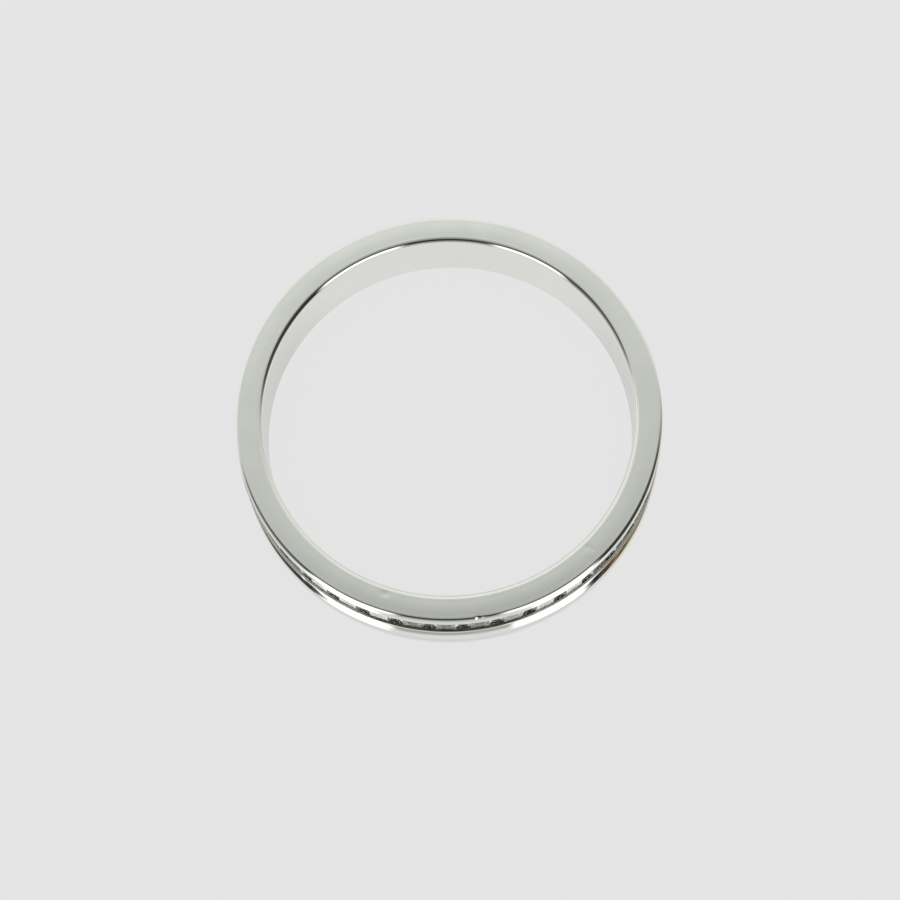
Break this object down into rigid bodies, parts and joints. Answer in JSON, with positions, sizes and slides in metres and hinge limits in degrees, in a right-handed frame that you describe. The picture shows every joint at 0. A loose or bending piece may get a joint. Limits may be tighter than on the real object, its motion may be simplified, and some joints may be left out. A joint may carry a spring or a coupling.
{
  "type": "wedding ring",
  "caption": "Slim flat-walled wedding band lying on its side, with satin rims, a polished outer wall and a channel of square step-cut stones over its front.",
  "frame": {"origin": "centre of the finger hole on the plane of the lower rim, which the ring lies on", "axes": "+Z along the ring's own axis, up through the finger hole; the middle stone faces -Y"},
  "size_m": [0.0196, 0.0196, 0.0034],
  "materials": {
    "white_metal": "polished wall, satin rims",
    "clear_stone": "polished facets"
  },
  "bodies": {
    "root": {"band": "white_metal", "stone_1": "clear_stone", "stone_2": "clear_stone", "stone_3": "clear_stone", "stone_4": "clear_stone", "stone_5": "clear_stone", "stone_6": "clear_stone", "stone_7": "clear_stone", "stone_8": "clear_stone", "stone_9": "clear_stone", "stone_10": "clear_stone", "stone_11": "clear_stone", "stone_12": "clear_stone", "stone_13": "clear_stone", "stone_14": "clear_stone", "stone_15": "clear_stone"}
  },
  "joints": []
}
